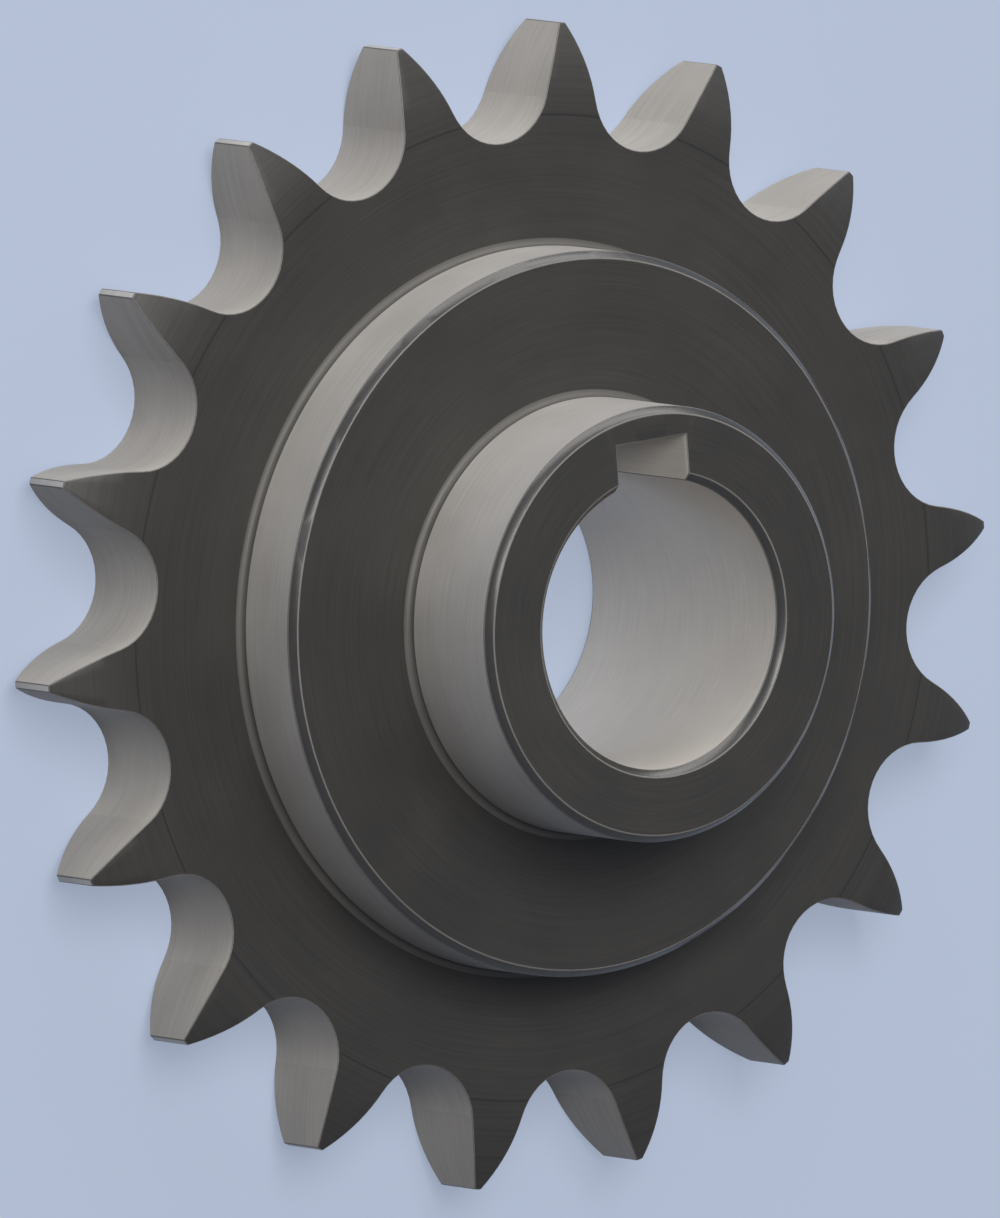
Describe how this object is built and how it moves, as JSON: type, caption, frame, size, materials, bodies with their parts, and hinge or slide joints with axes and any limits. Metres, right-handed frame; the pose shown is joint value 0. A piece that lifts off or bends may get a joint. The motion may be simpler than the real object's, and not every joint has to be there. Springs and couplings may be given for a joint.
{
  "type": "chain sprocket",
  "caption": "One-piece steel roller chain sprocket: toothed plate with a two-step hub on one side, through bore and keyway. Turns with a shaft and drives a chain.",
  "frame": {"origin": "centre of the bore on the flat back face of the toothed plate, on which the sprocket lies", "axes": "+Z along the bore, from the back face to the nose of the hub; +Y through the middle of the keyway; +X across the bore, to the right of the keyway as seen from the nose"},
  "size_m": [0.0806, 0.0794, 0.022],
  "materials": {
    "machined_steel": "satin"
  },
  "bodies": {
    "root": {"sprocket": "machined_steel"}
  },
  "joints": []
}
